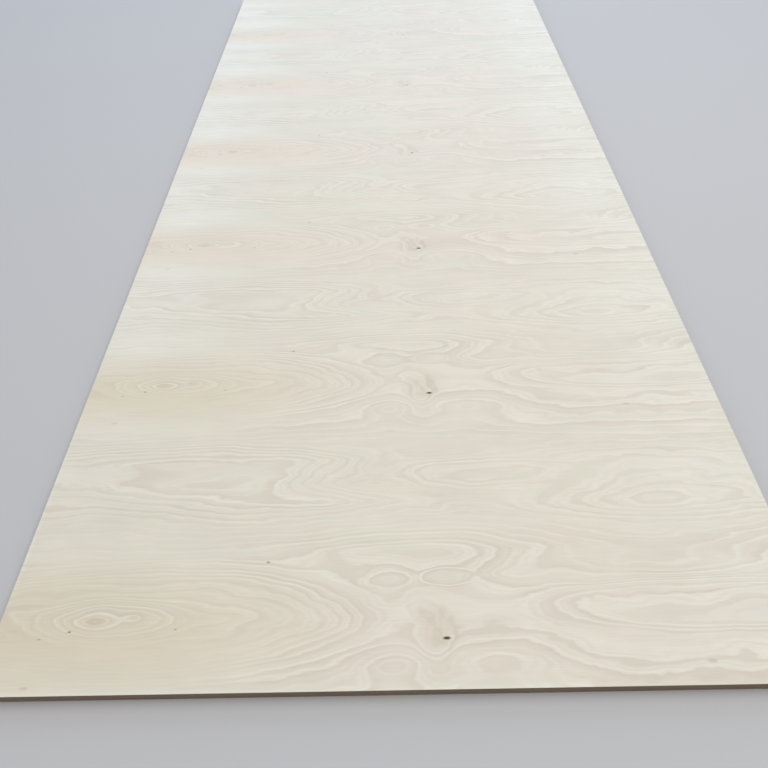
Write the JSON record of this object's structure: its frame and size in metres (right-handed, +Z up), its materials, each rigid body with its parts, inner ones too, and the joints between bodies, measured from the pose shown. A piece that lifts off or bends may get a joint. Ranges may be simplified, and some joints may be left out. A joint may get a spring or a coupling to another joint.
{
  "type": "plywood sheet",
  "caption": "Full-size flat sheet of pale birch plywood with its face grain across the sheet, square-sawn edges and small open pin knots repeated along the face.",
  "frame": {"origin": "middle of the back face, which rests on the floor", "axes": "+X across the sheet along its face grain, +Y along the sheet, +Z up through the thickness"},
  "size_m": [1.25, 3, 0.018],
  "materials": {
    "birch_plywood": "sanded, unfinished pale birch veneer, matt, with low-contrast rotary-cut figure and layered sawn edges"
  },
  "bodies": {
    "root": {"plywood_sheet": "birch_plywood"}
  },
  "joints": []
}
